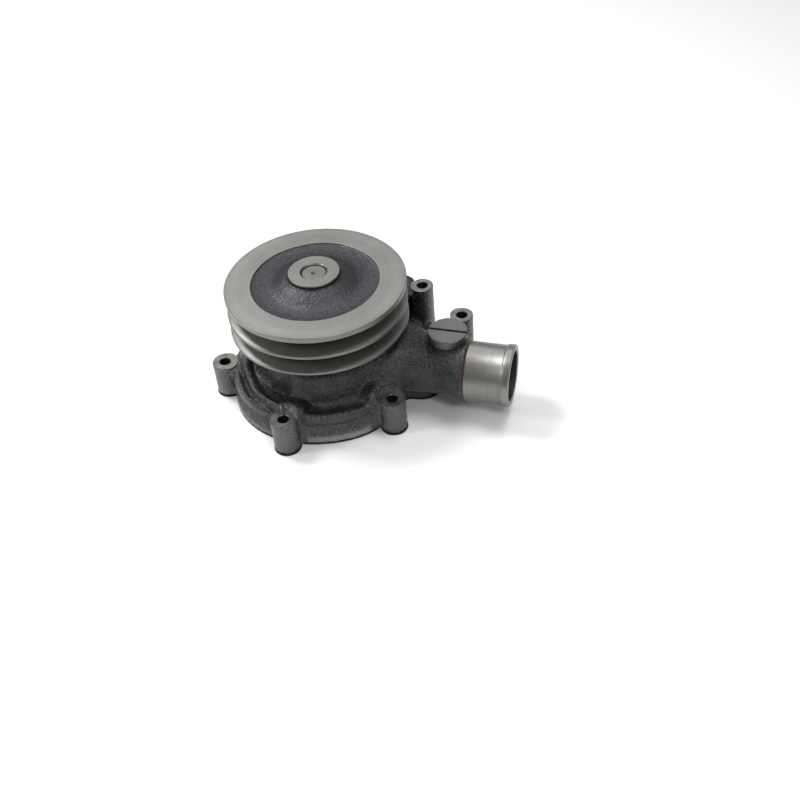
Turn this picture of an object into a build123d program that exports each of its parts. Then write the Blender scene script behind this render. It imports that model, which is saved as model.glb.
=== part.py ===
from build123d import *
from math import cos, radians, sin, tan
import os

os.makedirs("parts", exist_ok=True)

# Engine water pump with a two-groove V-belt pulley. Millimetres. The shaft turns about Z, the origin is
# on the shaft axis at the engine's mounting plane, +Z points to the pulley and +X out of the hose stub.

# ---- mounting flange, gasket and bolt bosses ----
gasket_thickness = 0.8
flange_top = 9.0
bolt_hole_radius = 4.5
boss_radius = 10.5
tall_boss_radius = 9.3
short_boss_top = 30.0
tall_boss_top = 60.0
short_bosses = [(-76.9, -30.3), (-6.2, -86.3), (70.8, -47.5), (3.4, 90.3), (-52.5, 49.4)]
tall_bosses = [(110.6, 27.9), (69.6, 60.6)]
bolt_places = short_bosses + tall_bosses
# radius of the flange edge and of the coolant window, every 45 degrees from +X
flange_radii = [76.0, 86.0, 78.5, 71.8, 73.5, 80.8, 82.0, 80.0]
window_radii = [63.5, 76.0, 68.0, 63.5, 65.5, 73.8, 75.8, 70.0]
tongue_tip = (43.2, 27.3)

# ---- casing ----
wall_top = 25.5
rib_bottom = 19.5
rib_top = 27.5
second_rib_sweep = 80.0
web_top = 28.5
web_width = 13.0
tall_web_width = 12.0
leg_roof = 12.0
volute_roof = 20.0
impeller_gap = 1.2
chamber_floor = 26.0
chamber_roof = 47.0
chamber_radius = 49.0
eye_radius = 34.0
seal_tube_radius = 21.0
neck_radius = 27.5
neck_top = 89.5
dome_bottom = 22.0
dome_radius = 64.0
low_side_radius = 56.0
dome_start_angle = -118.0
dome_sweep = 262.0
lobe_x = 44.0
lobe_y = 74.0
lobe_radius = 17.0
lobe_top = 47.0

# ---- duct and hose stub, along X ----
duct_start = 30.0
duct_middle = 76.0
waist_x = 104.0
waist_z = 33.7
waist_radius = 20.0
waist_bore = 15.5
stub_y = -9.7
stub_z = 35.0
stub_bore = 20.3
stub_radius = 24.0
stub_bead_radius = 25.0
bead_length = 5.7
bead_slope = 1.3
collar_radius = 25.8
collar_width = 2.6
stub_root = 123.5
stub_end = 159.5

# ---- blanking plug on top of the duct ----
plug_x = 105.6
plug_y = -0.5
plug_radius = 15.7
plug_boss_bottom = 30.0
plug_seat = 59.0
plug_top = 66.0
plug_shank_radius = 10.0
plug_shank_bottom = 51.0
slot_width = 2.0
slot_depth = 2.5
washer_thickness = 1.0
washer_radius = 13.0

# ---- pulley ----
pulley_radius = 72.0
pulley_bottom = 64.5
pulley_top = 100.6
groove_width = 13.4
middle_land = 2.5
bottom_land = 2.2
groove_depth = 13.5
groove_half_angle = 18.5
dish_radius = 50.8
rim_inner_radius = 50.0
web_underside = 91.5
hub_radius = 20.4
hub_foot_radius = 17.0
hub_top = 109.3

# ---- shaft and its double-row bearing ----
shaft_hub_radius = 10.0
shaft_body_radius = 12.5
shaft_seal_radius = 8.0
shaft_shoulder = 41.5
shaft_top = 107.8
ring_bore = 18.0
ring_radius = 23.5
ring_bottom = 43.0
ring_top = 86.0
ball_radius = 4.0
ball_pitch = 15.5
ball_z = 75.0
ball_count = 9
roller_radius = 2.5
roller_pitch = 14.0
roller_z = 55.5
roller_length = 12.0
roller_count = 12
running_gap = 0.03

# ---- face seal ----
seal_bore = 17.0
tube_bottom = 28.0
cup_roof = 38.5
cup_thickness = 1.0
face_z = 26.5
carbon_bore = 9.2
carbon_radius = 14.0
carbon_bottom = 28.0
bellows_bottom = 31.0
bellows_radius = 13.0
bellows_bore = 8.8
mating_bore = 8.6
mating_radius = 13.0
mating_bottom = 23.0
boot_bottom = 21.5
boot_radius = 14.5
boot_top = 25.5
spring_wire = 1.1
spring_radius = 14.7
spring_pitch = 1.7
spring_height = 5.1
spring_bottom = 31.6
slinger_bottom = 39.7
slinger_radius = 15.0

# ---- impeller ----
impeller_radius = 48.0
impeller_bottom = 3.5
vane_bottom = 6.5
vane_top = 19.3
vane_count = 6


# ---- values worked out from the ones above ----
clip_radius = ring_radius + 1.2
clip_inner_radius = ring_radius - 2.2
clip_top = ring_top + 1.6
hub_bottom = neck_top + 1.0
shaft_bottom = impeller_bottom
track_half = roller_length / 2 + 1.2
inner_track = roller_pitch - roller_radius - running_gap
outer_track = roller_pitch + roller_radius + running_gap
groove_floor_radius = pulley_radius - groove_depth
groove_wall_run = groove_depth * tan(radians(groove_half_angle))
first_groove = pulley_bottom + bottom_land
second_groove = first_groove + groove_width + middle_land
stub_axis = Axis((0, stub_y, stub_z), (1, 0, 0))


def polar(radius, angle):
    """A point at a radius and an angle in degrees about the shaft axis."""
    return (radius * cos(radians(angle)), radius * sin(radians(angle)))


def scroll(radii, grow):
    """A smooth closed face through radii spaced evenly round the shaft axis, each made larger by grow."""
    step = 360 / len(radii)
    corners = [polar(radius + grow, step * i) for i, radius in enumerate(radii)]
    with BuildSketch() as face:
        with BuildLine():
            Spline(*corners, periodic=True)
        make_face()
    return face.sketch


def leg(size):
    """The discharge leg of the flange, from the scroll out to its far bolt, scaled about the shaft axis."""
    with BuildSketch() as face:
        with BuildLine():
            Polyline((40, 20), (40, 69), (58, 68.5), (103.5, 38), (111, 24), (109.5, 17))
            Spline((109.5, 17), (101, 5.7), (93.7, -8), (85, -13.4), (76, -14.5), (70, -20))
            Line((70, -20), (40, 20))
        make_face()
        scale(by=size)
    return face.sketch


def tongue():
    """The cutwater between the scroll and the discharge leg."""
    with BuildSketch() as face:
        with BuildLine():
            Spline((66, -12), (62, 5.5), (53.5, 12.5), (47, 21), tongue_tip)
            Spline(tongue_tip, (52, 24), (61, 14.5), (70.5, 3.2), (80.5, -4))
            Line((80.5, -4), (66, -12))
        make_face()
    return face.sketch


def flange_outline(ear_radius):
    """The flange and gasket outline: scroll, discharge leg and an ear of the given radius at each bolt."""
    with BuildSketch() as face:
        add(scroll(flange_radii, 0))
        add(leg(1))
        with Locations(*bolt_places):
            Circle(ear_radius)
        for x, y in bolt_places:
            with BuildLine():
                Line((x, y), (0.85 * x, 0.85 * y))
            trace(line_width=2 * ear_radius - 3)
    return face.sketch


def window():
    """The coolant opening inside the flange: scroll and discharge leg, less the tongue."""
    with BuildSketch() as face:
        add(scroll(window_radii, 0))
        with BuildLine():
            Polyline((36.5, 64.4), (97.5, 30), (100.5, 24), (99.5, 17))
            Spline((99.5, 17), (88.5, 0.5), (80.5, -4), (74.5, -1.7), (61, 14.5), (44, 28))
            Line((44, 28), (36.5, 64.4))
        make_face()
        add(tongue(), mode=Mode.SUBTRACT)
    return face.sketch


# ---- housing: one iron casting with the flange, volute, suction dome, duct, hose stub and bosses ----
with BuildPart() as housing:
    # flange lip, the volute wall set in from it, and a rounded rib round the top of the wall
    with BuildSketch(Plane.XY.offset(gasket_thickness)):
        add(flange_outline(boss_radius))
    extrude(amount=flange_top - gasket_thickness)
    with BuildSketch(Plane.XY.offset(gasket_thickness + 1)):
        add(scroll(flange_radii, -3.5))
        add(leg(0.965))
    extrude(amount=wall_top - gasket_thickness - 1)
    with BuildSketch(Plane.XY.offset(rib_bottom)):
        add(scroll(flange_radii, -1.0))
        add(leg(0.985))
        add(scroll(flange_radii, -7.5), mode=Mode.SUBTRACT)
        add(leg(0.92), mode=Mode.SUBTRACT)
    extrude(amount=rib_top - rib_bottom)
    # second rib, inside the first, over the start of the volute
    with BuildSketch(Plane.XZ.rotated((0, 0, 180))):
        with BuildLine():
            Polyline((50, 20), (69.5, 20), (69.5, 32), (67, 35), (63, 35), (60, 31), (50, 31), (50, 20))
        make_face()
    revolve(axis=Axis.Z, revolution_arc=second_rib_sweep)
    # bearing neck on the low, tight side of the suction chamber
    with BuildSketch(Plane.XZ):
        with BuildLine():
            Line((0, dome_bottom), (low_side_radius, dome_bottom))
            Polyline((low_side_radius, dome_bottom), (54.5, 38), (50, 45), (43, 51), (34, 55))
            Spline((34, 55), (29.5, 58), (neck_radius, 64))
            Polyline((neck_radius, 64), (neck_radius, neck_top), (0, neck_top), (0, dome_bottom))
        make_face()
    revolve(axis=Axis.Z)
    # dome of the suction chamber, which ends in a step
    with BuildSketch(Plane.XZ.rotated((0, 0, dome_start_angle))):
        with BuildLine():
            Polyline((20, dome_bottom), (dome_radius, dome_bottom), (62.5, 34))
            Spline((62.5, 34), (61, 41), (56, 48.5), (47, 54), (36, 57), (20, 58.5))
            Line((20, 58.5), (20, dome_bottom))
        make_face()
    revolve(axis=Axis.Z, revolution_arc=dome_sweep)
    # duct from the dome to the hose stub, narrow in the middle and flared to the stub's root
    with BuildSketch(Plane.YZ.offset(duct_start)):
        with Locations((4, 36)):
            RectangleRounded(98, 44, 21)
    with BuildSketch(Plane.YZ.offset(duct_middle)):
        with Locations((-3, 35)):
            RectangleRounded(58, 42, 20)
    with BuildSketch(Plane.YZ.offset(waist_x)):
        with Locations((stub_y, waist_z)):
            Circle(waist_radius)
    loft()
    with BuildSketch(Plane.YZ.offset(waist_x - 2)):
        with Locations((stub_y, waist_z)):
            Circle(waist_radius - 0.5)
    with BuildSketch(Plane.YZ.offset(stub_root - 1)):
        with Locations((stub_y, stub_z)):
            Circle(collar_radius - 0.6)
    loft()
    # hose stub with its root collar and end bead
    with BuildSketch(Plane.XZ.offset(-stub_y)):
        with BuildLine():
            Polyline(
                (stub_root - collar_width, stub_z),
                (stub_root - collar_width, stub_z + collar_radius),
                (stub_root, stub_z + collar_radius),
                (stub_root, stub_z + stub_radius),
                (stub_end - bead_length - bead_slope, stub_z + stub_radius),
                (stub_end - bead_length, stub_z + stub_bead_radius),
                (stub_end, stub_z + stub_bead_radius),
                (stub_end, stub_z),
                close=True,
            )
        make_face()
    revolve(axis=stub_axis)
    # round boss for the blanking plug
    with BuildSketch(Plane.XY.offset(plug_boss_bottom)):
        with Locations((plug_x, plug_y)):
            Circle(plug_radius)
    extrude(amount=plug_seat - plug_boss_bottom)
    # bolt bosses and the webs that tie them to the casing
    with BuildSketch(Plane.XY.offset(gasket_thickness)):
        for x, y in short_bosses:
            with BuildLine():
                Line((x, y), (0.82 * x, 0.82 * y))
            trace(line_width=web_width)
        for x, y in tall_bosses:
            with BuildLine():
                Line((x, y), (0.7 * x, 0.7 * y))
            trace(line_width=tall_web_width)
    extrude(amount=web_top - gasket_thickness)
    with BuildSketch(Plane.XY.offset(gasket_thickness)):
        with Locations(*short_bosses):
            Circle(boss_radius)
    extrude(amount=short_boss_top - gasket_thickness)
    with BuildSketch(Plane.XY.offset(gasket_thickness)):
        with Locations(*tall_bosses):
            Circle(tall_boss_radius)
    extrude(amount=tall_boss_top - gasket_thickness)
    # casting lobe between the rear bosses
    with BuildSketch(Plane.XY.offset(gasket_thickness)):
        with Locations((lobe_x, lobe_y)):
            Circle(lobe_radius)
    extrude(amount=lobe_top - gasket_thickness)

    # volute and discharge pocket, open towards the engine, with the tongue left standing
    with BuildSketch(Plane.XY.offset(gasket_thickness)):
        add(window())
    extrude(amount=leg_roof - gasket_thickness, mode=Mode.SUBTRACT)
    with BuildSketch(Plane.XY.offset(leg_roof)):
        Circle(window_radii[0] - 1)
    extrude(amount=volute_roof - leg_roof, mode=Mode.SUBTRACT)
    with BuildSketch(Plane.XY.offset(gasket_thickness)):
        Circle(impeller_radius + impeller_gap)
    extrude(amount=volute_roof - gasket_thickness, mode=Mode.SUBTRACT)
    # eye of the impeller and the suction chamber round the seal tube
    with BuildSketch(Plane.XY.offset(volute_roof)):
        Circle(eye_radius)
    extrude(amount=chamber_floor - volute_roof, mode=Mode.SUBTRACT)
    with BuildSketch(Plane.XZ):
        with BuildLine():
            Polyline((0, chamber_floor), (chamber_radius, chamber_floor), (chamber_radius, 38))
            Polyline((chamber_radius, 38), (42, chamber_roof), (neck_radius, chamber_roof + 3))
            Polyline((neck_radius, chamber_roof + 3), (neck_radius, 42), (seal_tube_radius, 38))
            Line((seal_tube_radius, 38), (seal_tube_radius, tube_bottom))
            Polyline((seal_tube_radius, tube_bottom), (0, tube_bottom), (0, chamber_floor))
        make_face()
    revolve(axis=Axis.Z, mode=Mode.SUBTRACT)
    # passage from the hose stub into the chamber
    with BuildSketch(Plane.YZ.offset(chamber_radius - 10)):
        with Locations((-2, 35.5)):
            RectangleRounded(60, 17, 8)
    with BuildSketch(Plane.YZ.offset(waist_x)):
        with Locations((stub_y, waist_z)):
            Circle(waist_bore)
    loft(mode=Mode.SUBTRACT)
    with BuildSketch(Plane.YZ.offset(waist_x)):
        with Locations((stub_y, waist_z)):
            Circle(waist_bore)
    with BuildSketch(Plane.YZ.offset(stub_root - 2)):
        with Locations((stub_y, stub_z)):
            Circle(stub_bore)
    loft(mode=Mode.SUBTRACT)
    with BuildSketch(Plane.YZ.offset(stub_root - 2)):
        with Locations((stub_y, stub_z)):
            Circle(stub_bore)
    extrude(amount=stub_end - stub_root + 2, mode=Mode.SUBTRACT)
    # bores: bearing, its circlip groove, seal cup and the space between them
    with BuildSketch(Plane.XZ):
        with BuildLine():
            Polyline((0, tube_bottom), (seal_bore, tube_bottom), (seal_bore, 39), (20, 39))
            Line((20, 39), (20, ring_bottom))
            Polyline((20, ring_bottom), (ring_radius, ring_bottom), (ring_radius, ring_top))
            Polyline((ring_radius, ring_top), (clip_radius, ring_top), (clip_radius, clip_top))
            Polyline((clip_radius, clip_top), (ring_radius, clip_top), (ring_radius, neck_top))
            Polyline((ring_radius, neck_top), (0, neck_top), (0, tube_bottom))
        make_face()
    revolve(axis=Axis.Z, mode=Mode.SUBTRACT)
    # bolt holes and the hole for the plug
    with BuildSketch(Plane.XY):
        with Locations(*bolt_places):
            Circle(bolt_hole_radius)
    extrude(amount=tall_boss_top + 1, mode=Mode.SUBTRACT)
    with BuildSketch(Plane.XY.offset(stub_z)):
        with Locations((plug_x, plug_y)):
            Circle(plug_shank_radius)
    extrude(amount=plug_seat - stub_z, mode=Mode.SUBTRACT)
    with BuildSketch(Plane.XY.offset(plug_seat)):
        with Locations((plug_x, plug_y)):
            Circle(plug_radius + 0.3)
    extrude(amount=plug_top - plug_seat, mode=Mode.SUBTRACT)
housing.part.label = "housing"
export_step(housing.part, "parts/housing.step")

# ---- gasket between the flange and the engine ----
with BuildPart() as gasket:
    with BuildSketch():
        add(flange_outline(boss_radius + 0.5))
        add(window(), mode=Mode.SUBTRACT)
        with Locations(*bolt_places):
            Circle(bolt_hole_radius + 0.3, mode=Mode.SUBTRACT)
    extrude(amount=gasket_thickness)
gasket.part.label = "gasket"
export_step(gasket.part, "parts/gasket.step")

# ---- slotted blanking plug, with its sealing washer in a recess under the head ----
with BuildPart() as plug_washer:
    with BuildSketch(Plane.XY.offset(plug_seat)):
        with Locations((plug_x, plug_y)):
            Circle(washer_radius)
            Circle(plug_shank_radius, mode=Mode.SUBTRACT)
    extrude(amount=washer_thickness)
plug_washer.part.label = "plug_washer"
export_step(plug_washer.part, "parts/plug_washer.step")

with BuildPart() as blanking_plug:
    with BuildSketch(Plane.XY.offset(plug_seat)):
        with Locations((plug_x, plug_y)):
            Circle(plug_radius)
            Circle(washer_radius, mode=Mode.SUBTRACT)
    extrude(amount=plug_top - plug_seat)
    with BuildSketch(Plane.XY.offset(plug_seat + washer_thickness)):
        with Locations((plug_x, plug_y)):
            Circle(washer_radius)
    extrude(amount=plug_top - plug_seat - washer_thickness)
    chamfer(blanking_plug.edges().group_by(Axis.Z)[-1], 0.5)
    with BuildSketch(Plane.XY.offset(plug_shank_bottom)):
        with Locations((plug_x, plug_y)):
            Circle(plug_shank_radius)
    extrude(amount=plug_seat + washer_thickness - plug_shank_bottom)
    with BuildSketch(Plane.XY.offset(plug_top)):
        with Locations((plug_x, plug_y)):
            Rectangle(2 * plug_radius + 1, slot_width)
    extrude(amount=-slot_depth, mode=Mode.SUBTRACT)
blanking_plug.part.label = "blanking_plug"
export_step(blanking_plug.part, "parts/blanking_plug.step")

# ---- pulley: turned iron casting with two V-grooves, a dished web and a hub pressed on the shaft ----
with BuildPart() as pulley:
    with BuildSketch(Plane.XZ):
        with BuildLine():
            Polyline((rim_inner_radius, pulley_bottom), (pulley_radius, pulley_bottom))
            Line((pulley_radius, pulley_bottom), (pulley_radius, pulley_top))
            Line((pulley_radius, pulley_top), (dish_radius, pulley_top))
            Line((dish_radius, pulley_top), (dish_radius, pulley_top - 1))
            hub_shoulder = (hub_radius, hub_top - 1.2)
            Spline((dish_radius, pulley_top - 1), (43, 98.4), (35, 99.2), (27, 103), hub_shoulder)
            Polyline(hub_shoulder, (hub_radius, hub_top), (shaft_hub_radius, hub_top))
            Line((shaft_hub_radius, hub_top), (shaft_hub_radius, hub_bottom))
            Line((shaft_hub_radius, hub_bottom), (hub_foot_radius, hub_bottom))
            Line((hub_foot_radius, hub_bottom), (hub_foot_radius + 2, web_underside + 3))
            Line((hub_foot_radius + 2, web_underside + 3), (32, web_underside))
            Line((32, web_underside), (rim_inner_radius - 4, web_underside - 1))
            Line((rim_inner_radius - 4, web_underside - 1), (rim_inner_radius, web_underside - 6))
            Line((rim_inner_radius, web_underside - 6), (rim_inner_radius, pulley_bottom))
        make_face()
    revolve(axis=Axis.Z)
    for groove_bottom in (first_groove, second_groove):
        groove_top = groove_bottom + groove_width
        with BuildSketch(Plane.XZ):
            with BuildLine():
                Polyline(
                    (pulley_radius, groove_bottom),
                    (pulley_radius + 1, groove_bottom),
                    (pulley_radius + 1, groove_top),
                    (pulley_radius, groove_top),
                    (groove_floor_radius, groove_top - groove_wall_run),
                    (groove_floor_radius, groove_bottom + groove_wall_run),
                    close=True,
                )
            make_face()
        revolve(axis=Axis.Z, mode=Mode.SUBTRACT)
    chamfer(pulley.edges().filter_by(GeomType.CIRCLE).group_by(Axis.Z)[-1].sort_by(SortBy.RADIUS)[0], 0.9)
pulley.part.label = "pulley"
export_step(pulley.part, "parts/pulley.step")

# ---- shaft, with the bearing's inner races ground into it ----
with BuildPart() as shaft:
    with BuildSketch(Plane.XZ):
        with BuildLine():
            Line((0, shaft_bottom), (shaft_seal_radius, shaft_bottom))
            Line((shaft_seal_radius, shaft_bottom), (shaft_seal_radius, shaft_shoulder))
            Polyline((shaft_seal_radius, shaft_shoulder), (shaft_body_radius, shaft_shoulder + 1))
            Line((shaft_body_radius, shaft_shoulder + 1), (shaft_body_radius, roller_z - track_half))
            Line((shaft_body_radius, roller_z - track_half), (inner_track, roller_z - track_half))
            Line((inner_track, roller_z - track_half), (inner_track, roller_z + track_half))
            Line((inner_track, roller_z + track_half), (shaft_body_radius, roller_z + track_half))
            Line((shaft_body_radius, roller_z + track_half), (shaft_body_radius, hub_bottom - 1))
            Polyline((shaft_body_radius, hub_bottom - 1), (shaft_hub_radius, hub_bottom))
            Polyline((shaft_hub_radius, hub_bottom), (shaft_hub_radius, shaft_top - 1))
            Polyline((shaft_hub_radius, shaft_top - 1), (shaft_hub_radius - 1, shaft_top), (0, shaft_top))
            Line((0, shaft_top), (0, shaft_bottom))
        make_face()
    revolve(axis=Axis.Z)
    with BuildSketch(Plane.XZ):
        with Locations((ball_pitch, ball_z)):
            Circle(ball_radius + running_gap)
    revolve(axis=Axis.Z, mode=Mode.SUBTRACT)
    with Locations((0, 0, shaft_top)):
        CounterSinkHole(radius=0.8, counter_sink_radius=2.2, depth=4)
shaft.part.label = "shaft"
export_step(shaft.part, "parts/shaft.step")

# ---- bearing outer ring, balls, rollers and their cages ----
with BuildPart() as bearing_outer_ring:
    with BuildSketch(Plane.XZ):
        with BuildLine():
            Polyline(
                (outer_track, ring_bottom),
                (ring_radius, ring_bottom),
                (ring_radius, ring_top),
                (ring_bore, ring_top),
                (ring_bore, roller_z + track_half + 1),
                (outer_track, roller_z + track_half),
                close=True,
            )
        make_face()
        with Locations((ball_pitch, ball_z)):
            Circle(ball_radius + running_gap, mode=Mode.SUBTRACT)
    revolve(axis=Axis.Z)
bearing_outer_ring.part.label = "bearing_outer_ring"
export_step(bearing_outer_ring.part, "parts/bearing_outer_ring.step")

with BuildPart() as bearing_balls:
    with Locations((0, 0, ball_z)):
        with PolarLocations(ball_pitch, ball_count):
            Sphere(ball_radius)
bearing_balls.part.label = "bearing_balls"
export_step(bearing_balls.part, "parts/bearing_balls.step")

with BuildPart() as ball_cage:
    with BuildSketch(Plane.XY.offset(ball_z - ball_radius - 1)):
        Circle(ball_pitch + 0.9)
        Circle(ball_pitch - 0.9, mode=Mode.SUBTRACT)
    extrude(amount=2 * ball_radius + 2)
    with BuildSketch(Plane.XY.offset(ball_z - ball_radius - running_gap)):
        with PolarLocations(ball_pitch, ball_count):
            Circle(ball_radius + running_gap)
    extrude(amount=2 * ball_radius + 2 * running_gap, mode=Mode.SUBTRACT)
ball_cage.part.label = "ball_cage"
export_step(ball_cage.part, "parts/ball_cage.step")

with BuildPart() as bearing_rollers:
    with BuildSketch(Plane.XY.offset(roller_z - roller_length / 2)):
        with PolarLocations(roller_pitch, roller_count):
            Circle(roller_radius)
    extrude(amount=roller_length)
bearing_rollers.part.label = "bearing_rollers"
export_step(bearing_rollers.part, "parts/bearing_rollers.step")

with BuildPart() as roller_cage:
    with BuildSketch(Plane.XY.offset(roller_z - roller_length / 2 - 1)):
        Circle(roller_pitch + 0.8)
        Circle(roller_pitch - 0.8, mode=Mode.SUBTRACT)
    extrude(amount=roller_length + 2)
    with BuildSketch(Plane.XY.offset(roller_z - roller_length / 2 - running_gap)):
        with PolarLocations(roller_pitch, roller_count):
            Circle(roller_radius + running_gap)
    extrude(amount=roller_length + 2 * running_gap, mode=Mode.SUBTRACT)
roller_cage.part.label = "roller_cage"
export_step(roller_cage.part, "parts/roller_cage.step")

with BuildPart() as bearing_seal_front:
    with BuildSketch(Plane.XZ):
        with BuildLine():
            Polyline((shaft_body_radius + 0.05, 84), (shaft_body_radius + 1, 82.6), (ring_bore, 82.6))
            Polyline((ring_bore, 82.6), (ring_bore, 85.2), (14.5, 85.2), (shaft_body_radius + 0.05, 84))
        make_face()
    revolve(axis=Axis.Z)
bearing_seal_front.part.label = "bearing_seal_front"
export_step(bearing_seal_front.part, "parts/bearing_seal_front.step")

with BuildPart() as bearing_seal_rear:
    with BuildSketch(Plane.XZ):
        with BuildLine():
            Polyline((shaft_body_radius + 0.05, 45), (shaft_body_radius + 1, 46.4), (outer_track, 46.4))
            Polyline((outer_track, 46.4), (outer_track, 43.8), (14.5, 43.8), (shaft_body_radius + 0.05, 45))
        make_face()
    revolve(axis=Axis.Z)
bearing_seal_rear.part.label = "bearing_seal_rear"
export_step(bearing_seal_rear.part, "parts/bearing_seal_rear.step")

# ---- circlip that holds the bearing in the neck ----
with BuildPart() as bearing_circlip:
    with BuildSketch(Plane.XY.offset(ring_top)):
        Circle(clip_radius - 0.1)
        Circle(clip_inner_radius, mode=Mode.SUBTRACT)
        with Locations((0, -clip_inner_radius + 0.2)):
            Rectangle(13, 3.6)
            Rectangle(6, 14, mode=Mode.SUBTRACT)
        with Locations((-4.6, -clip_inner_radius + 0.2), (4.6, -clip_inner_radius + 0.2)):
            Circle(0.9, mode=Mode.SUBTRACT)
    extrude(amount=clip_top - ring_top - 0.1)
bearing_circlip.part.label = "bearing_circlip"
export_step(bearing_circlip.part, "parts/bearing_circlip.step")

# ---- mechanical face seal: the standing half in the seal bore, the turning half on the impeller ----
with BuildPart() as seal_cup:
    with BuildSketch(Plane.XZ):
        with BuildLine():
            Polyline(
                (seal_bore, tube_bottom - cup_thickness),
                (seal_tube_radius - 1.5, tube_bottom - cup_thickness),
                (seal_tube_radius - 1.5, tube_bottom),
                (seal_bore, tube_bottom),
                (seal_bore, cup_roof),
                (9.5, cup_roof),
                (9.5, cup_roof - cup_thickness),
                (seal_bore - cup_thickness, cup_roof - cup_thickness),
                (seal_bore - cup_thickness, tube_bottom - cup_thickness),
                close=True,
            )
        make_face()
    revolve(axis=Axis.Z)
seal_cup.part.label = "seal_cup"
export_step(seal_cup.part, "parts/seal_cup.step")

with BuildPart() as seal_carbon_ring:
    with BuildSketch(Plane.XZ):
        with BuildLine():
            Polyline(
                (carbon_bore, carbon_bottom),
                (10, carbon_bottom),
                (10, face_z),
                (12.5, face_z),
                (12.5, carbon_bottom),
                (carbon_radius, carbon_bottom),
                (carbon_radius, bellows_bottom),
                (carbon_bore, bellows_bottom),
                close=True,
            )
        make_face()
    revolve(axis=Axis.Z)
seal_carbon_ring.part.label = "seal_carbon_ring"
export_step(seal_carbon_ring.part, "parts/seal_carbon_ring.step")

with BuildPart() as seal_bellows:
    with BuildSketch(Plane.XZ):
        with BuildLine():
            Polyline((bellows_bore, bellows_bottom), (13.4, bellows_bottom), (13.4, 32), (10.6, 33))
            Polyline((10.6, 33), (bellows_radius, 34.2), (10.6, 35.5), (bellows_radius, 36.5))
            Polyline((bellows_radius, 36.5), (bellows_radius, 37.5), (bellows_bore, 37.5))
            Line((bellows_bore, 37.5), (bellows_bore, 36.5))
            Polyline((bellows_bore, 36.5), (9.6, 35.5), (11.2, 34.2), (9.6, 33), (bellows_bore, 32))
            Line((bellows_bore, 32), (bellows_bore, bellows_bottom))
        make_face()
    revolve(axis=Axis.Z)
seal_bellows.part.label = "seal_bellows"
export_step(seal_bellows.part, "parts/seal_bellows.step")

with BuildPart() as seal_spring:
    with BuildLine():
        spring_path = Helix(spring_pitch, spring_height, spring_radius, center=(0, 0, spring_bottom))
    with BuildSketch(Plane(spring_path @ 0, z_dir=spring_path % 0)):
        Circle(spring_wire / 2)
    sweep(path=spring_path)
seal_spring.part.label = "seal_spring"
export_step(seal_spring.part, "parts/seal_spring.step")

with BuildPart() as seal_mating_ring:
    with BuildSketch(Plane.XZ):
        with BuildLine():
            Polyline(
                (mating_bore, face_z - running_gap),
                (mating_radius, face_z - running_gap),
                (mating_radius, mating_bottom),
                (mating_bore, mating_bottom),
                close=True,
            )
        make_face()
    revolve(axis=Axis.Z)
seal_mating_ring.part.label = "seal_mating_ring"
export_step(seal_mating_ring.part, "parts/seal_mating_ring.step")

with BuildPart() as mating_ring_boot:
    with BuildSketch(Plane.XZ):
        with BuildLine():
            Polyline(
                (mating_bore, boot_bottom),
                (boot_radius, boot_bottom),
                (boot_radius, boot_top),
                (mating_radius, boot_top),
                (mating_radius, mating_bottom),
                (mating_bore, mating_bottom),
                close=True,
            )
        make_face()
    revolve(axis=Axis.Z)
mating_ring_boot.part.label = "mating_ring_boot"
export_step(mating_ring_boot.part, "parts/mating_ring_boot.step")

with BuildPart() as slinger:
    with BuildSketch(Plane.XY.offset(slinger_bottom)):
        Circle(slinger_radius)
        Circle(shaft_seal_radius, mode=Mode.SUBTRACT)
    extrude(amount=1)
slinger.part.label = "slinger"
export_step(slinger.part, "parts/slinger.step")

# ---- impeller: open wheel with curved vanes, pressed on the engine end of the shaft ----
with BuildPart() as impeller:
    with BuildSketch(Plane.XZ):
        with BuildLine():
            Polyline(
                (shaft_seal_radius, impeller_bottom),
                (impeller_radius, impeller_bottom),
                (impeller_radius, impeller_bottom + 2.5),
                (30, vane_bottom),
                (18, 9),
                (16.5, 24),
                (boot_radius, 24),
                (boot_radius, boot_bottom),
                (shaft_seal_radius, boot_bottom),
                close=True,
            )
        make_face()
    revolve(axis=Axis.Z)
    with BuildSketch(Plane.XY.offset(vane_bottom - 1)):
        with PolarLocations(0, vane_count):
            with BuildLine():
                ThreePointArc(polar(16, 0), polar(34, 28), polar(impeller_radius - 1.8, 62))
            trace(line_width=3)
    extrude(amount=vane_top - vane_bottom + 1)
impeller.part.label = "impeller"
export_step(impeller.part, "parts/impeller.step")
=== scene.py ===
import bmesh
import bpy
import numpy as np
from mathutils import Matrix, Vector


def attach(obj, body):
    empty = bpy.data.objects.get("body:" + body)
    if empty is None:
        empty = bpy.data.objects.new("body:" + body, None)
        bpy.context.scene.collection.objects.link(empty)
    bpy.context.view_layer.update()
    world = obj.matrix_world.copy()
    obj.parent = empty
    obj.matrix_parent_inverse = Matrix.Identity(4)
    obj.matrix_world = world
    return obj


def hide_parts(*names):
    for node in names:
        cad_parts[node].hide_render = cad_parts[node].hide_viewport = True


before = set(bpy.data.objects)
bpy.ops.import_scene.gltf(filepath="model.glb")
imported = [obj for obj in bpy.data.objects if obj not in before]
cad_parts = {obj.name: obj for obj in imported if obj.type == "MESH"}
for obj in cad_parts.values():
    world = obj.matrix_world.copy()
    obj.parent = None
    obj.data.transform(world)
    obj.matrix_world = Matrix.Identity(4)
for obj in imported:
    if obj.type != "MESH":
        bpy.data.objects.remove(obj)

bpy.context.view_layer.update()

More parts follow.
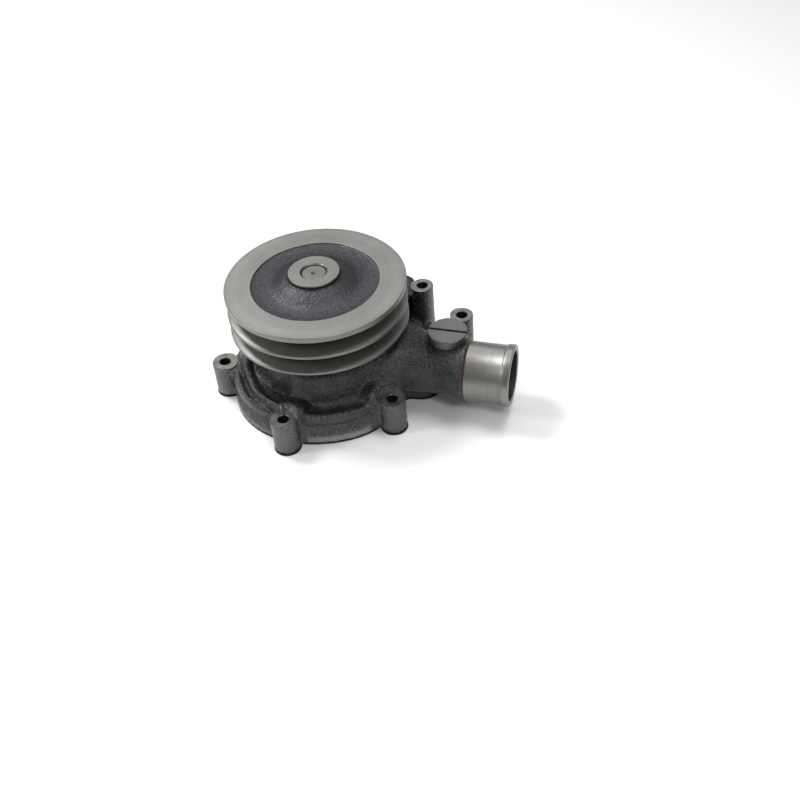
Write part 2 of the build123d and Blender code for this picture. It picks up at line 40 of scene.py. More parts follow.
# ---- camera ----
# A short telephoto view from the front, a little to the right and well above the pump, so that the pulley
# face, the two grooves and the bolt bosses along the front edge all show.
camera_data = bpy.data.cameras.new("camera")
camera_data.sensor_width = 36
camera_data.lens = 48.583
camera_data.clip_start = 0.01
camera = bpy.data.objects.new("camera", camera_data)
bpy.context.scene.collection.objects.link(camera)
camera_right = Vector((0.96472, 0.25561, -0.06331))
camera_up = Vector((-0.12920, 0.66894, 0.73201))
camera_back = Vector((0.22946, -0.69801, 0.67834))
camera_turn = Matrix((camera_right, camera_up, camera_back)).transposed().to_4x4()
camera_turn.translation = Vector((0.27059, -0.63617, 0.60141))
camera.matrix_world = camera_turn
bpy.context.scene.camera = camera
bpy.context.scene.view_settings.view_transform = "Standard"


# ---- studio ----
# A pale table lit by four soft boxes round the pump and a long panel behind it. The room beyond is darker
# than the table, which gives the turned iron its dark bands.
def soft_box(name, place, target, width, height, power):
    """An area light of the given width and height in metres, aimed from its place at the target."""
    light_data = bpy.data.lights.new(name, "AREA")
    light_data.shape = "RECTANGLE"
    light_data.size = width
    light_data.size_y = height
    light_data.energy = power
    light = bpy.data.objects.new(name, light_data)
    bpy.context.scene.collection.objects.link(light)
    light.location = place
    light.rotation_euler = (Vector(target) - Vector(place)).to_track_quat("-Z", "Y").to_euler()


pump_middle = (0.03, 0.0, 0.04)
soft_box("left_box", (-0.66, 0.19, 1.08), pump_middle, 0.36, 0.36, 11)
soft_box("front_left_box", (-0.93, -0.50, 0.74), pump_middle, 0.26, 0.26, 5)
soft_box("front_right_box", (0.62, -0.68, 0.98), pump_middle, 0.24, 0.24, 3.5)
soft_box("right_box", (0.32, 0.19, 1.32), pump_middle, 0.80, 0.30, 7)
soft_box("back_panel", (-0.45, 1.15, 1.15), pump_middle, 1.3, 0.7, 5.5)

room = bpy.data.worlds.new("room")
room.use_nodes = True
room_light = room.node_tree.nodes["Background"]
room_light.inputs["Color"].default_value = (0.97, 0.98, 1.0, 1)
room_light.inputs["Strength"].default_value = 0.30
bpy.context.scene.world = room

table_half = 3.0
table_mesh = bpy.data.meshes.new("table")
table_corners = [(-table_half, -table_half, 0), (table_half, -table_half, 0)]
table_corners += [(table_half, table_half, 0), (-table_half, table_half, 0)]
table_mesh.from_pydata(table_corners, [], [(0, 1, 2, 3)])
table = bpy.data.objects.new("table", table_mesh)
bpy.context.scene.collection.objects.link(table)
table_paint = bpy.data.materials.new("table_paint")
table_paint.use_nodes = True
table_shader = table_paint.node_tree.nodes["Principled BSDF"]
table_shader.inputs["Base Color"].default_value = (0.86, 0.86, 0.855, 1)
table_shader.inputs["Roughness"].default_value = 0.6
table_mesh.materials.append(table_paint)


# ---- pulley ----
# A two-groove V-belt wheel of grey iron, turned all over at the rim and left as cast in the dish between
# rim and hub. It is pressed on the shaft and turns with it.
def turned_shape(profile, axis_point, along_x, segments):
    """The points and quads of a closed profile of (radius, height) pairs, carried once round an axis. The point
    at (turn, step) is radius(step) * (cos turn, sin turn) and height(step). The axis is Z, or X when along_x
    is set."""
    outline = np.asarray(profile, float)
    steps = len(outline)
    turn = np.linspace(0, 2 * np.pi, segments, endpoint=False)
    radius = outline[None, :, 0]
    height = np.repeat(outline[None, :, 1], segments, axis=0)
    across = radius * np.cos(turn)[:, None]
    over = radius * np.sin(turn)[:, None]
    if along_x:
        points = np.stack((height, across, over), axis=-1)
    else:
        points = np.stack((across, over, height), axis=-1)
    points = points.reshape(-1, 3) + np.asarray(axis_point, float)
    ring = np.arange(segments)[:, None] * steps
    next_ring = (np.arange(segments)[:, None] + 1) % segments * steps
    step = np.arange(steps)[None, :]
    next_step = (step + 1) % steps
    quads = np.stack((ring + step, next_ring + step, next_ring + next_step, ring + next_step), axis=-1)
    return points, quads.reshape(-1, 4).tolist()


merge_distance = 1e-7
crease_angle = np.radians(28)


def lathe(name, profile, materials, bands=(), axis_point=(0, 0, 0), along_x=False, segments=256):
    """The mesh of one turned piece, its profile carried round an axis as turned_shape says. Where the profile
    meets the axis, the points are merged into one pole. bands gives each profile side its material."""
    points, quads = turned_shape(profile, axis_point, along_x, segments)
    mesh = bpy.data.meshes.new(name)
    mesh.from_pydata(points.tolist(), [], quads)
    if min(radius for radius, _ in profile) == 0:
        shape = bmesh.new()
        shape.from_mesh(mesh)
        bmesh.ops.remove_doubles(shape, verts=shape.verts, dist=merge_distance)
        bmesh.ops.dissolve_degenerate(shape, dist=merge_distance, edges=shape.edges)
        shape.to_mesh(mesh)
        shape.free()
    for material in materials:
        mesh.materials.append(material)
    if len(bands):
        mesh.polygons.foreach_set("material_index", np.tile(np.asarray(bands, np.int32), segments))
    mesh.polygons.foreach_set("use_smooth", np.ones(len(mesh.polygons), bool))
    mesh.set_sharp_from_angle(angle=crease_angle)
    mesh.update()
    return mesh


def place_piece(name, body, slot, mesh, *nodes):
    """Links a finished mesh as a piece that rides on a body and stands for CAD nodes. slot is not used."""
    piece = bpy.data.objects.new(name, mesh)
    bpy.context.scene.collection.objects.link(piece)
    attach(piece, body)
    if nodes:
        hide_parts(*nodes)
    return piece


def new_finish(name, colour, metallic, roughness):
    """A material and its Principled shader, with an even colour until nodes are added."""
    material = bpy.data.materials.new(name)
    material.use_nodes = True
    shader = material.node_tree.nodes["Principled BSDF"]
    shader.inputs["Base Color"].default_value = (*colour, 1)
    shader.inputs["Metallic"].default_value = metallic
    shader.inputs["Roughness"].default_value = roughness
    return material, shader


def add_node(material, kind, **settings):
    """One shader node with its settings: attributes by name, and input values by their socket names."""
    node = material.node_tree.nodes.new(kind)
    for key, value in settings.items():
        if key in node.inputs:
            node.inputs[key].default_value = value
        else:
            setattr(node, key, value)
    return node


def wire(material, start, start_socket, end, end_socket):
    material.node_tree.links.new(start.outputs[start_socket], end.inputs[end_socket])


def grain(material, scale, detail, roughness=0.6):
    """Noise of the given scale on the piece's own coordinates."""
    place = add_node(material, "ShaderNodeTexCoord")
    noise = add_node(material, "ShaderNodeTexNoise", Scale=scale, Detail=detail, Roughness=roughness)
    wire(material, place, "Object", noise, "Vector")
    return noise


def spread(material, noise, low, high, start=0.3, end=0.7):
    """A Map Range that turns noise between start and end into values between low and high."""
    ranged = add_node(material, "ShaderNodeMapRange")
    ranged.inputs["From Min"].default_value = start
    ranged.inputs["From Max"].default_value = end
    ranged.inputs["To Min"].default_value = low
    ranged.inputs["To Max"].default_value = high
    wire(material, noise, 0, ranged, "Value")
    return ranged


def two_tones(material, factor, first, second):
    """A colour mix of two tones by a factor node, wired to the base colour."""
    mix = add_node(material, "ShaderNodeMix", data_type="RGBA")
    mix.inputs["A"].default_value = (*first, 1)
    mix.inputs["B"].default_value = (*second, 1)
    mix.inputs["Factor"].default_value = 0.5
    material.node_tree.links.new(factor.outputs[0], mix.inputs["Factor"])
    shader = material.node_tree.nodes["Principled BSDF"]
    material.node_tree.links.new(mix.outputs["Result"], shader.inputs["Base Color"])
    return mix


def raise_surface(material, height, distance, strength=1.0, under=None):
    """A bump from a height node. under is a bump node that this one adds to."""
    bump = add_node(material, "ShaderNodeBump", Distance=distance, Strength=strength)
    wire(material, height, 0, bump, "Height")
    if under is not None:
        wire(material, under, "Normal", bump, "Normal")
    wire(material, bump, "Normal", material.node_tree.nodes["Principled BSDF"], "Normal")
    return bump


def turned_finish(name, dark, light, roughness, axis="Z", axis_point=(0, 0, 0), mark_pitch=0.00035):
    """Turned iron: fine circular tool marks about the axis, faint clouds of tone and small pores."""
    material, shader = new_finish(name, light, 1.0, roughness)
    place = add_node(material, "ShaderNodeTexCoord")
    parts = add_node(material, "ShaderNodeSeparateXYZ")
    wire(material, place, "Object", parts, "Vector")
    radius = add_node(material, "ShaderNodeVectorMath", operation="LENGTH")
    flat = add_node(material, "ShaderNodeCombineXYZ")
    if axis == "Z":
        wire(material, parts, "X", flat, "X")
        wire(material, parts, "Y", flat, "Y")
        along = "Z"
    else:
        for side, centre, target in (("Y", axis_point[1], "X"), ("Z", axis_point[2], "Y")):
            shift = add_node(material, "ShaderNodeMath", operation="SUBTRACT")
            shift.inputs[1].default_value = centre
            wire(material, parts, side, shift, 0)
            wire(material, shift, 0, flat, target)
        along = "X"
    wire(material, flat, 0, radius, 0)
    marks_at = add_node(material, "ShaderNodeCombineXYZ")
    wire(material, radius, "Value", marks_at, "X")
    wire(material, parts, along, marks_at, "Y")
    marks = add_node(material, "ShaderNodeTexNoise", Scale=1 / mark_pitch, Detail=2.0)
    wire(material, marks_at, 0, marks, "Vector")
    broad = add_node(material, "ShaderNodeTexNoise", Scale=0.12 / mark_pitch, Detail=2.0)
    wire(material, marks_at, 0, broad, "Vector")
    clouds = grain(material, 38.0, 4.0)
    tone_sum = add_node(material, "ShaderNodeMath", operation="ADD")
    wire(material, broad, 0, tone_sum, 0)
    wire(material, clouds, 0, tone_sum, 1)
    tone = spread(material, tone_sum, 0.0, 1.0, 0.6, 1.4)
    two_tones(material, tone, dark, light)
    gloss = spread(material, tone_sum, roughness + 0.06, roughness - 0.05, 0.7, 1.3)
    wire(material, gloss, 0, shader, "Roughness")
    pores = grain(material, 900.0, 2.0)
    pore_depth = spread(material, pores, 0.0, 1.0, 0.28, 0.4)
    pore_bump = raise_surface(material, pore_depth, 0.00006, 0.5)
    raise_surface(material, marks, 0.00004, 0.6, pore_bump)
    return material


pulley_radius = 0.072
pulley_bottom = 0.0645
pulley_top = 0.1006
bottom_land = 0.0022
groove_width = 0.0134
middle_land = 0.0025
groove_depth = 0.0135
groove_wall_run = groove_depth * np.tan(np.radians(18.5))
rim_inner_radius = 0.050
dish_radius = 0.0508
hub_radius = 0.0204
hub_top = 0.1093
hub_bottom = 0.0905
hub_bore = 0.0101
web_underside = 0.0915
edge_break = 0.00035
turned_iron = turned_finish("turned_iron", (0.165, 0.162, 0.153), (0.228, 0.225, 0.213), 0.44)

dish_iron, dish_shader = new_finish("dish_cast_iron", (0.085, 0.087, 0.095), 0.75, 0.5)
dish_grit = grain(dish_iron, 1000.0, 2.0)
dish_lumps = grain(dish_iron, 420.0, 3.0)
two_tones(dish_iron, spread(dish_iron, dish_grit, 0.0, 1.0), (0.020, 0.020, 0.023), (0.062, 0.062, 0.068))
wire(dish_iron, spread(dish_iron, dish_lumps, 0.26, 0.45), 0, dish_shader, "Roughness")
dish_coarse = raise_surface(dish_iron, dish_lumps, 0.0007, 0.9)
raise_surface(dish_iron, dish_grit, 0.0003, 1.0, dish_coarse)


def smooth_line(points, count):
    """A Catmull-Rom curve through the points, with count points to each span, its last point left out."""
    knots = np.asarray(points, float)
    ends = np.concatenate((2 * knots[:1] - knots[1:2], knots, 2 * knots[-1:] - knots[-2:-1]))
    share = np.linspace(0, 1, count, endpoint=False)[None, :, None]
    before, start, end, after = (ends[i:len(ends) - 3 + i, None, :] for i in range(4))
    curve = start + 0.5 * share * (
        end - before
        + share * (2 * before - 5 * start + 4 * end - after + share * (3 * (start - end) + after - before))
    )
    return curve.reshape(-1, 2).tolist()


def broken_edge(before, corner, after, size):
    """Two points that break a sharp corner: each lies on its side of the corner, size away from it."""
    before, corner, after = (np.asarray(point, float) for point in (before, corner, after))
    first = corner + (before - corner) / np.linalg.norm(before - corner) * size
    second = corner + (after - corner) / np.linalg.norm(after - corner) * size
    return [first.tolist(), second.tolist()]


groove_corners = []
groove_foot = pulley_bottom + bottom_land
for _ in range(2):
    groove_corners += [
        (pulley_radius, groove_foot),
        (pulley_radius - groove_depth, groove_foot + groove_wall_run),
        (pulley_radius - groove_depth, groove_foot + groove_width - groove_wall_run),
        (pulley_radius, groove_foot + groove_width),
    ]
    groove_foot += groove_width + middle_land
rim_corners = [(rim_inner_radius, pulley_bottom), (pulley_radius, pulley_bottom), *groove_corners]
rim_corners += [(pulley_radius, pulley_top), (dish_radius, pulley_top), (dish_radius, pulley_top - 0.001)]
rim_line = [rim_corners[0]]
for before, corner, after in zip(rim_corners[:-2], rim_corners[1:-1], rim_corners[2:]):
    rim_line += broken_edge(before, corner, after, edge_break)
dish_line = smooth_line(
    [(dish_radius, pulley_top - 0.001), (0.0490, 0.0990), (0.043, 0.0984), (0.035, 0.0992), (0.027, 0.1030),
     (hub_radius + 0.0008, hub_top - 0.0035), (hub_radius, hub_top - 0.0012)], 6)
hub_line = [(hub_radius, hub_top - 0.0012), (hub_radius, hub_top - 0.0004), (hub_radius - 0.0004, hub_top)]
hub_line += [(hub_bore + 0.0009, hub_top), (hub_bore, hub_top - 0.0009), (hub_bore, hub_bottom)]
under_line = [(0.017, hub_bottom), (0.0183, hub_bottom + 0.003), (0.032, web_underside)]
under_line += [(rim_inner_radius - 0.004, web_underside - 0.001), (rim_inner_radius, web_underside - 0.006)]
pulley_line = rim_line + dish_line + hub_line + under_line
side_finish = [0] * len(rim_line) + [1] * len(dish_line) + [0] * (len(hub_line) - 1)
side_finish += [1] * len(under_line) + [0]
pulley_mesh = lathe("grooved_pulley", pulley_line, (turned_iron, dish_iron), side_finish)
place_piece("grooved_pulley", "rotor", "pulley_iron", pulley_mesh, "pulley")


# ---- shaft ----
# The pump spindle, one ground steel bar: it carries the pulley at its top end, is the inner race of the
# bearing in the middle, and holds the seal and the impeller at its foot.
shaft_line = [(0.0, 0.0035), (0.0074, 0.0035), (0.0080, 0.0041), (0.0080, 0.0415), (0.0125, 0.0425)]
shaft_line += [(0.0125, 0.0483), (0.01147, 0.0483), (0.01147, 0.0627), (0.0125, 0.0627)]
ball_track = np.radians(np.linspace(-138, -222, 9))
ball_track_radius = 0.00403
ball_circle_radius = 0.0155
ball_row_height = 0.075
shaft_line += [
    (ball_circle_radius + ball_track_radius * np.cos(turn), ball_row_height - ball_track_radius * np.sin(turn))
    for turn in ball_track
]
shaft_line += [(0.0125, 0.0895), (0.0100, 0.0905), (0.0100, 0.1070), (0.0092, 0.1078)]
shaft_line += [(0.0023, 0.1078), (0.0009, 0.1064), (0.0008, 0.1044), (0.0, 0.1040)]
shaft_steel = turned_finish("ground_steel", (0.11, 0.108, 0.104), (0.20, 0.197, 0.19), 0.4)
shaft_mesh = lathe("spindle", shaft_line, (shaft_steel,), segments=96)
place_piece("spindle", "rotor", "shaft_steel", shaft_mesh, "shaft")


# ---- housing casting ----
# One sand casting in grey iron: flange, volute, suction dome, duct and seven bolt bosses. It comes from the
# mould with rounded corners and a grainy skin, and is then spot-faced at the bosses and turned at the stub.
def closed_tube(points):
    """Points on a grid of rings and the quads between them. A face closes the first ring and the last."""
    rings, steps = points.shape[:2]
    ring = np.arange(rings - 1)[:, None] * steps
    step = np.arange(steps)[None, :]
    next_step = (step + 1) % steps
    quads = np.stack((ring + step, ring + steps + step, ring + steps + next_step, ring + next_step), axis=-1)
    faces = quads.reshape(-1, 4).tolist()
    faces.append(list(range(steps)))
    faces.append(list(range((rings - 1) * steps, rings * steps))[::-1])
    return points.reshape(-1, 3), faces


def ridge(crest, thickness, depth, start, sweep, power=0.6):
    """A closed bar along a spiral about the shaft axis: at share s of the sweep the bar's middle lies at the
    radius and height that crest gives between its first and last (radius, height), and its section is a
    superellipse of half thickness and half depth that shrinks to a point at both ends."""
    share = np.linspace(0, 1, 60)[:, None]
    around = np.linspace(0, 2 * np.pi, 24, endpoint=False)[None, :]
    swell = (1 - np.abs(2 * share - 1) ** 14) ** 0.5
    crest = np.asarray(crest, float)
    middle = np.interp(share[:, 0], np.linspace(0, 1, len(crest)), crest[:, 0])[:, None]
    height = np.interp(share[:, 0], np.linspace(0, 1, len(crest)), crest[:, 1])[:, None]
    side = np.sign(np.cos(around)) * np.abs(np.cos(around)) ** power * thickness * swell
    rise = np.sign(np.sin(around)) * np.abs(np.sin(around)) ** power * depth * swell
    turn = np.radians(start + sweep * share)
    radius = middle + side
    points = np.stack((radius * np.cos(turn), radius * np.sin(turn), height + rise), axis=-1)
    return closed_tube(points)


def lump(centre, half, turn=0.0, plan_power=1.0, rise_power=0.25):
    """A closed superellipsoid: with p round it and q over it, x = a cos(p)^m cos(q)^n,
    y = b sin(p)^m cos(q)^n and z = c sin(q)^n, where m is the plan power and n the rise power. It is then
    turned about Z and moved."""
    over = np.linspace(0.497 * np.pi, -0.497 * np.pi, 28)[:, None]
    around = np.linspace(0, 2 * np.pi, 40, endpoint=False)[None, :]
    waist = np.abs(np.cos(over)) ** rise_power
    along = np.sign(np.cos(around)) * np.abs(np.cos(around)) ** plan_power * half[0] * waist
    across = np.sign(np.sin(around)) * np.abs(np.sin(around)) ** plan_power * half[1] * waist
    rise = np.repeat(np.sign(np.sin(over)) * np.abs(np.sin(over)) ** rise_power * half[2], 40, axis=1)
    cos_turn = np.cos(np.radians(turn))
    sin_turn = np.sin(np.radians(turn))
    x = centre[0] + along * cos_turn - across * sin_turn
    y = centre[1] + along * sin_turn + across * cos_turn
    return closed_tube(np.stack((x, y, centre[2] + rise), axis=-1))


def boss_cap(centre, inner, outer, depth, power=0.3):
    """A closed ring about a vertical axis, its section a superellipse from the inner to the outer radius."""
    around = np.linspace(0, 2 * np.pi, 48, endpoint=False)[:, None]
    section = np.linspace(0, 2 * np.pi, 24, endpoint=False)[None, :]
    side = np.sign(np.cos(section)) * np.abs(np.cos(section)) ** power
    rise = np.sign(np.sin(section)) * np.abs(np.sin(section)) ** power
    radius = (inner + outer) / 2 + side * (outer - inner) / 2
    x = centre[0] + radius * np.cos(around)
    y = centre[1] + radius * np.sin(around)
    z = np.repeat(centre[2] + rise * depth, 48, axis=0)
    ring = np.arange(48)[:, None] * 24
    next_ring = (np.arange(48)[:, None] + 1) % 48 * 24
    step = np.arange(24)[None, :]
    next_step = (step + 1) % 24
    quads = np.stack((ring + step, next_ring + step, next_ring + next_step, ring + next_step), axis=-1)
    return np.stack((x, y, z), axis=-1).reshape(-1, 3), quads.reshape(-1, 4).tolist()


short_boss_top = 0.030
tall_boss_top = 0.060
boss_radius = 0.0105
tall_boss_radius = 0.0093
bolt_hole_radius = 0.0045
# place of each bolt boss, the height of its machined top, its radius, and the radius of its spot face
bolt_bosses = [
    (-0.0769, -0.0303, short_boss_top, boss_radius, 0.0108),
    (-0.0062, -0.0863, short_boss_top, boss_radius, 0.0112),
    (0.0708, -0.0475, short_boss_top, boss_radius, 0.0124),
    (0.0034, 0.0903, short_boss_top, boss_radius, 0.0112),
    (-0.0525, 0.0494, short_boss_top, boss_radius, 0.0112),
    (0.1106, 0.0279, tall_boss_top, tall_boss_radius, 0.0096),
    (0.0696, 0.0606, tall_boss_top, tall_boss_radius, 0.0096),
]
stub_centre = (0.0, -0.0097, 0.0350)
gasket_thickness = 0.0008
inner_hollow_height = 0.0280
outer_hollow_height = 0.0225
stub_skin_start = 0.1218
stub_skin_end = 0.1586
voxel = 0.0015

additions = [
    # the crest that spirals out from boss A to the shoulder of boss B
    ridge([(0.0625, 0.0265), (0.0658, 0.0270), (0.0694, 0.0272), (0.0729, 0.0272), (0.0758, 0.0270)],
          0.0026, 0.0065, -158, 60),
    # the rounded shoulders of the volute, from boss A to boss B and from boss B to boss C
    ridge([(0.0722, 0.0240), (0.0762, 0.0240), (0.0774, 0.0240), (0.0778, 0.0240)], 0.0034, 0.0048, -158, 58),
    ridge([(0.0776, 0.0245), (0.0776, 0.0245)], 0.0028, 0.0040, -86, 40),
    # the short crest behind boss B, and the shoulders of bosses B and C, which the spot faces cut into
    ridge([(0.0712, 0.0295), (0.0722, 0.0295)], 0.0022, 0.0055, -102, 18),
    lump((-0.0030, -0.0725, 0.0180), (0.0112, 0.0080, 0.0166), 2, 0.3, 0.18),
    lump((0.0598, -0.0402, 0.0180), (0.0082, 0.0150, 0.0182), -34, 0.3, 0.18),
]
for boss_x, boss_y, boss_top, radius, _ in bolt_bosses:
    additions.append(boss_cap((boss_x, boss_y, boss_top - 0.005), bolt_hole_radius, radius, 0.0072))

cad_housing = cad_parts["housing"].data
corner_count = len(cad_housing.vertices)
cad_points = np.empty(corner_count * 3)
cad_housing.vertices.foreach_get("co", cad_points)
cad_corners = np.empty(len(cad_housing.loops), np.int32)
cad_housing.loops.foreach_get("vertex_index", cad_corners)
micron_points = np.round(cad_points.reshape(-1, 3) * 1e6).astype(np.int64)
_, first_of, merged = np.unique(micron_points, axis=0, return_index=True, return_inverse=True)
rough_points = [cad_points.reshape(-1, 3)[first_of]]
rough_faces = merged.reshape(-1)[cad_corners].reshape(-1, 3).tolist()
point_count = len(first_of)
for points, faces in additions:
    rough_points.append(points)
    rough_faces += [[corner + point_count for corner in face] for face in faces]
    point_count += len(points)
rough_mesh = bpy.data.meshes.new("rough_casting")
rough_mesh.from_pydata(np.concatenate(rough_points).tolist(), [], rough_faces)
rough = bpy.data.objects.new("rough_casting", rough_mesh)
bpy.context.scene.collection.objects.link(rough)
skin_maker = rough.modifiers.new("skin", "REMESH")
skin_maker.mode = "VOXEL"
skin_maker.voxel_size = voxel
skin_maker.adaptivity = 0.0
bpy.context.view_layer.update()
evaluated = rough.evaluated_get(bpy.context.evaluated_depsgraph_get())
casting_mesh = bpy.data.meshes.new_from_object(evaluated)
bpy.data.objects.remove(rough)
casting_mesh.name = "housing_casting"

skin = np.empty(len(casting_mesh.vertices) * 3)
casting_mesh.vertices.foreach_get("co", skin)
skin = skin.reshape(-1, 3)
sides = np.empty(len(casting_mesh.edges) * 2, np.int32)
casting_mesh.edges.foreach_get("vertices", sides)
side_start, side_end = sides.reshape(-1, 2).T
neighbours = np.bincount(side_start, minlength=len(skin)) + np.bincount(side_end, minlength=len(skin))


def relax(points, weight, rounds):
    """Rounds corners: each point moves towards the mean of its neighbours by its weight, in every round."""
    for _ in range(rounds):
        total = np.empty_like(points)
        for axis in range(3):
            total[:, axis] = np.bincount(side_start, points[side_end, axis], len(points))
            total[:, axis] += np.bincount(side_end, points[side_start, axis], len(points))
        points = points + weight[:, None] * (total / neighbours[:, None] - points)
    return points


def from_bosses(points):
    """How far each point stands outside the nearest bolt boss, seen from above, in metres."""
    gaps = [np.hypot(points[:, 0] - x, points[:, 1] - y) - radius for x, y, _, radius, _ in bolt_bosses]
    return np.min(gaps, axis=0)


# hollows of the mould on both sides of the crest, where the solid is filled up
bearing = np.degrees(np.arctan2(skin[:, 1], skin[:, 0]))
reach = np.hypot(skin[:, 0], skin[:, 1])
crest_radius = np.interp(bearing, [-158, -143, -128, -113, -98], [0.0625, 0.0658, 0.0694, 0.0729, 0.0758])
beside_crest = (bearing > -156) & (bearing < -99)
behind = beside_crest & (reach > 0.058) & (reach < crest_radius - 0.0028) & (skin[:, 2] > inner_hollow_height)
skin[behind, 2] = inner_hollow_height
before = beside_crest & (reach > crest_radius + 0.0028) & (reach < crest_radius + 0.0055)
before &= (skin[:, 2] > outer_hollow_height) & (skin[:, 2] < 0.0290)
skin[before, 2] = outer_hollow_height

soft = np.clip(from_bosses(skin) / 0.004, 0.15, 1.0)
soft = np.where(skin[:, 2] < 0.0095, 0.2, soft) * 0.6
skin = relax(skin, soft, 5)
foot = np.where((bearing > -97) & (bearing < -38), 0.0235, 0.030)
wide = np.clip((skin[:, 2] - foot) / 0.003, 0, 1) * soft
wide *= np.clip((0.0735 - reach) / 0.003, 0, 1) + (skin[:, 0] > 0.055)
skin = relax(skin, np.clip(wide, 0, 0.6), 20)

for boss_x, boss_y, boss_top, radius, spot_radius in bolt_bosses:
    aside = np.hypot(skin[:, 0] - boss_x, skin[:, 1] - boss_y)
    cut = (aside < spot_radius) & (skin[:, 2] > boss_top)
    skin[cut, 2] = boss_top
    near_hole = (aside < bolt_hole_radius + 0.0012) & (skin[:, 2] < boss_top + 0.001)
    push = np.where(near_hole, np.maximum(aside, bolt_hole_radius + 0.0006) / np.maximum(aside, 1e-6), 1.0)
    skin[:, 0] = boss_x + (skin[:, 0] - boss_x) * push
    skin[:, 1] = boss_y + (skin[:, 1] - boss_y) * push
from_stub = skin[:, 1:] - np.asarray(stub_centre[1:])
stub_reach = np.linalg.norm(from_stub, axis=1)
on_stub = skin[:, 0] > stub_skin_start
wanted = np.where(stub_reach > 0.0221, np.minimum(stub_reach, 0.0232), np.maximum(stub_reach, 0.0210))
skin[on_stub, 1:] = np.asarray(stub_centre[1:]) + from_stub[on_stub] * (wanted / stub_reach)[on_stub, None]
skin[:, 0] = np.minimum(skin[:, 0], stub_skin_end)
skin[:, 2] = np.maximum(skin[:, 2], gasket_thickness)
casting_mesh.vertices.foreach_set("co", skin.reshape(-1))
casting_mesh.polygons.foreach_set("use_smooth", np.ones(len(casting_mesh.polygons), bool))
casting_mesh.update()

# how far the skin is made lighter: ground or rubbed bright at the machined edge of the flange and the dry boss
# sides, and lighter towards the bottom on the low walls below 24 mm
bearing = np.degrees(np.arctan2(skin[:, 1], skin[:, 0]))
low_edge = skin[:, 2] < 0.0078
bright = np.where(low_edge & (bearing > -84) & (bearing < -47), 1.0, 0.0)
bright = np.where(low_edge & (bearing > -160) & (bearing < -100) & (skin[:, 2] < 0.006), 0.45, bright)
bright = np.maximum(bright, np.where(from_bosses(skin) < 0.0012, 0.26, 0.0))
# the low walls grow up to 0.16 lighter towards the bottom, from 24 mm down to 18 mm
bright = np.maximum(bright, 0.16 * np.clip((0.024 - skin[:, 2]) / 0.006, 0, 1))
for _ in range(2):
    total = np.bincount(side_start, bright[side_end], len(skin))
    total += np.bincount(side_end, bright[side_start], len(skin))
    bright = 0.5 * bright + 0.5 * total / neighbours
skin_lightening = casting_mesh.attributes.new("skin_lightening", "FLOAT", "POINT")
skin_lightening.data.foreach_set("value", bright.astype(np.float32))

cast_iron, cast_shader = new_finish("sand_cast_iron", (0.07, 0.07, 0.072), 0.8, 0.45)
sand = grain(cast_iron, 900.0, 2.0)
lumps = grain(cast_iron, 330.0, 3.0)
stains = grain(cast_iron, 26.0, 4.0)
cast_tone = add_node(cast_iron, "ShaderNodeMath", operation="ADD")
wire(cast_iron, sand, 0, cast_tone, 0)
wire(cast_iron, stains, 0, cast_tone, 1)
cast_share = spread(cast_iron, cast_tone, 0.0, 1.0, 0.75, 1.3)
skin_mix = two_tones(cast_iron, cast_share, (0.026, 0.026, 0.028), (0.095, 0.094, 0.092))
lightening_amount = add_node(cast_iron, "ShaderNodeAttribute", attribute_name="skin_lightening")
lightening_mix = add_node(cast_iron, "ShaderNodeMix", data_type="RGBA")
lightening_mix.inputs["B"].default_value = (0.30, 0.292, 0.275, 1)
wire(cast_iron, lightening_amount, "Fac", lightening_mix, "Factor")
cast_iron.node_tree.links.new(skin_mix.outputs["Result"], lightening_mix.inputs["A"])
cast_iron.node_tree.links.new(lightening_mix.outputs["Result"], cast_shader.inputs["Base Color"])
wire(cast_iron, spread(cast_iron, lumps, 0.22, 0.40), 0, cast_shader, "Roughness")
cast_coarse = raise_surface(cast_iron, lumps, 0.0013, 1.0)
raise_surface(cast_iron, sand, 0.0007, 1.0, cast_coarse)
casting_mesh.materials.clear()
casting_mesh.materials.append(cast_iron)
place_piece("housing_casting", "casing", "cast_housing", casting_mesh, "housing")


# ---- spot faces of the bolt bosses ----
# The flat rings that a cutter leaves on top of each boss round its drilled bolt hole, and the hole's wall.
# They are part of the same iron as the casting.
def joined(name, meshes, materials):
    """One mesh from several (points, faces) pairs."""
    points = np.concatenate([points for points, _ in meshes])
    starts = np.cumsum([0] + [len(points) for points, _ in meshes])
    faces = []
    for start, (_, own_faces) in zip(starts, meshes):
        faces += [[corner + start for corner in face] for face in own_faces]
    mesh = bpy.data.meshes.new(name)
    mesh.from_pydata(points.tolist(), [], faces)
    for material in materials:
        mesh.materials.append(material)
    mesh.polygons.foreach_set("use_smooth", np.ones(len(mesh.polygons), bool))
    mesh.set_sharp_from_angle(angle=crease_angle)
    mesh.update()
    return mesh


spot_iron, spot_shader = new_finish("spot_faced_iron", (0.14, 0.138, 0.13), 0.95, 0.36)
spot_clouds = grain(spot_iron, 150.0, 4.0)
two_tones(spot_iron, spread(spot_iron, spot_clouds, 0.0, 1.0), (0.085, 0.084, 0.08), (0.21, 0.207, 0.195))
wire(spot_iron, spread(spot_iron, spot_clouds, 0.30, 0.46), 0, spot_shader, "Roughness")
spot_marks = grain(spot_iron, 1500.0, 2.0)
raise_surface(spot_iron, spot_marks, 0.0001, 0.6)
bore_iron, bore_shader = new_finish("drilled_iron", (0.05, 0.049, 0.047), 0.8, 0.5)
bore_marks = grain(bore_iron, 1100.0, 2.0)
two_tones(bore_iron, spread(bore_iron, bore_marks, 0.0, 1.0), (0.03, 0.029, 0.028), (0.07, 0.068, 0.065))
raise_surface(bore_iron, bore_marks, 0.0001, 0.6)
hole_edge = 0.0004
hole_bottom = 0.0010
sleeve_radius = 0.0049
face_drop = 0.0008
face_lift = 0.00003
face_inset = 0.0011
spot_segments = 64
spot_parts = []
spot_bands = []
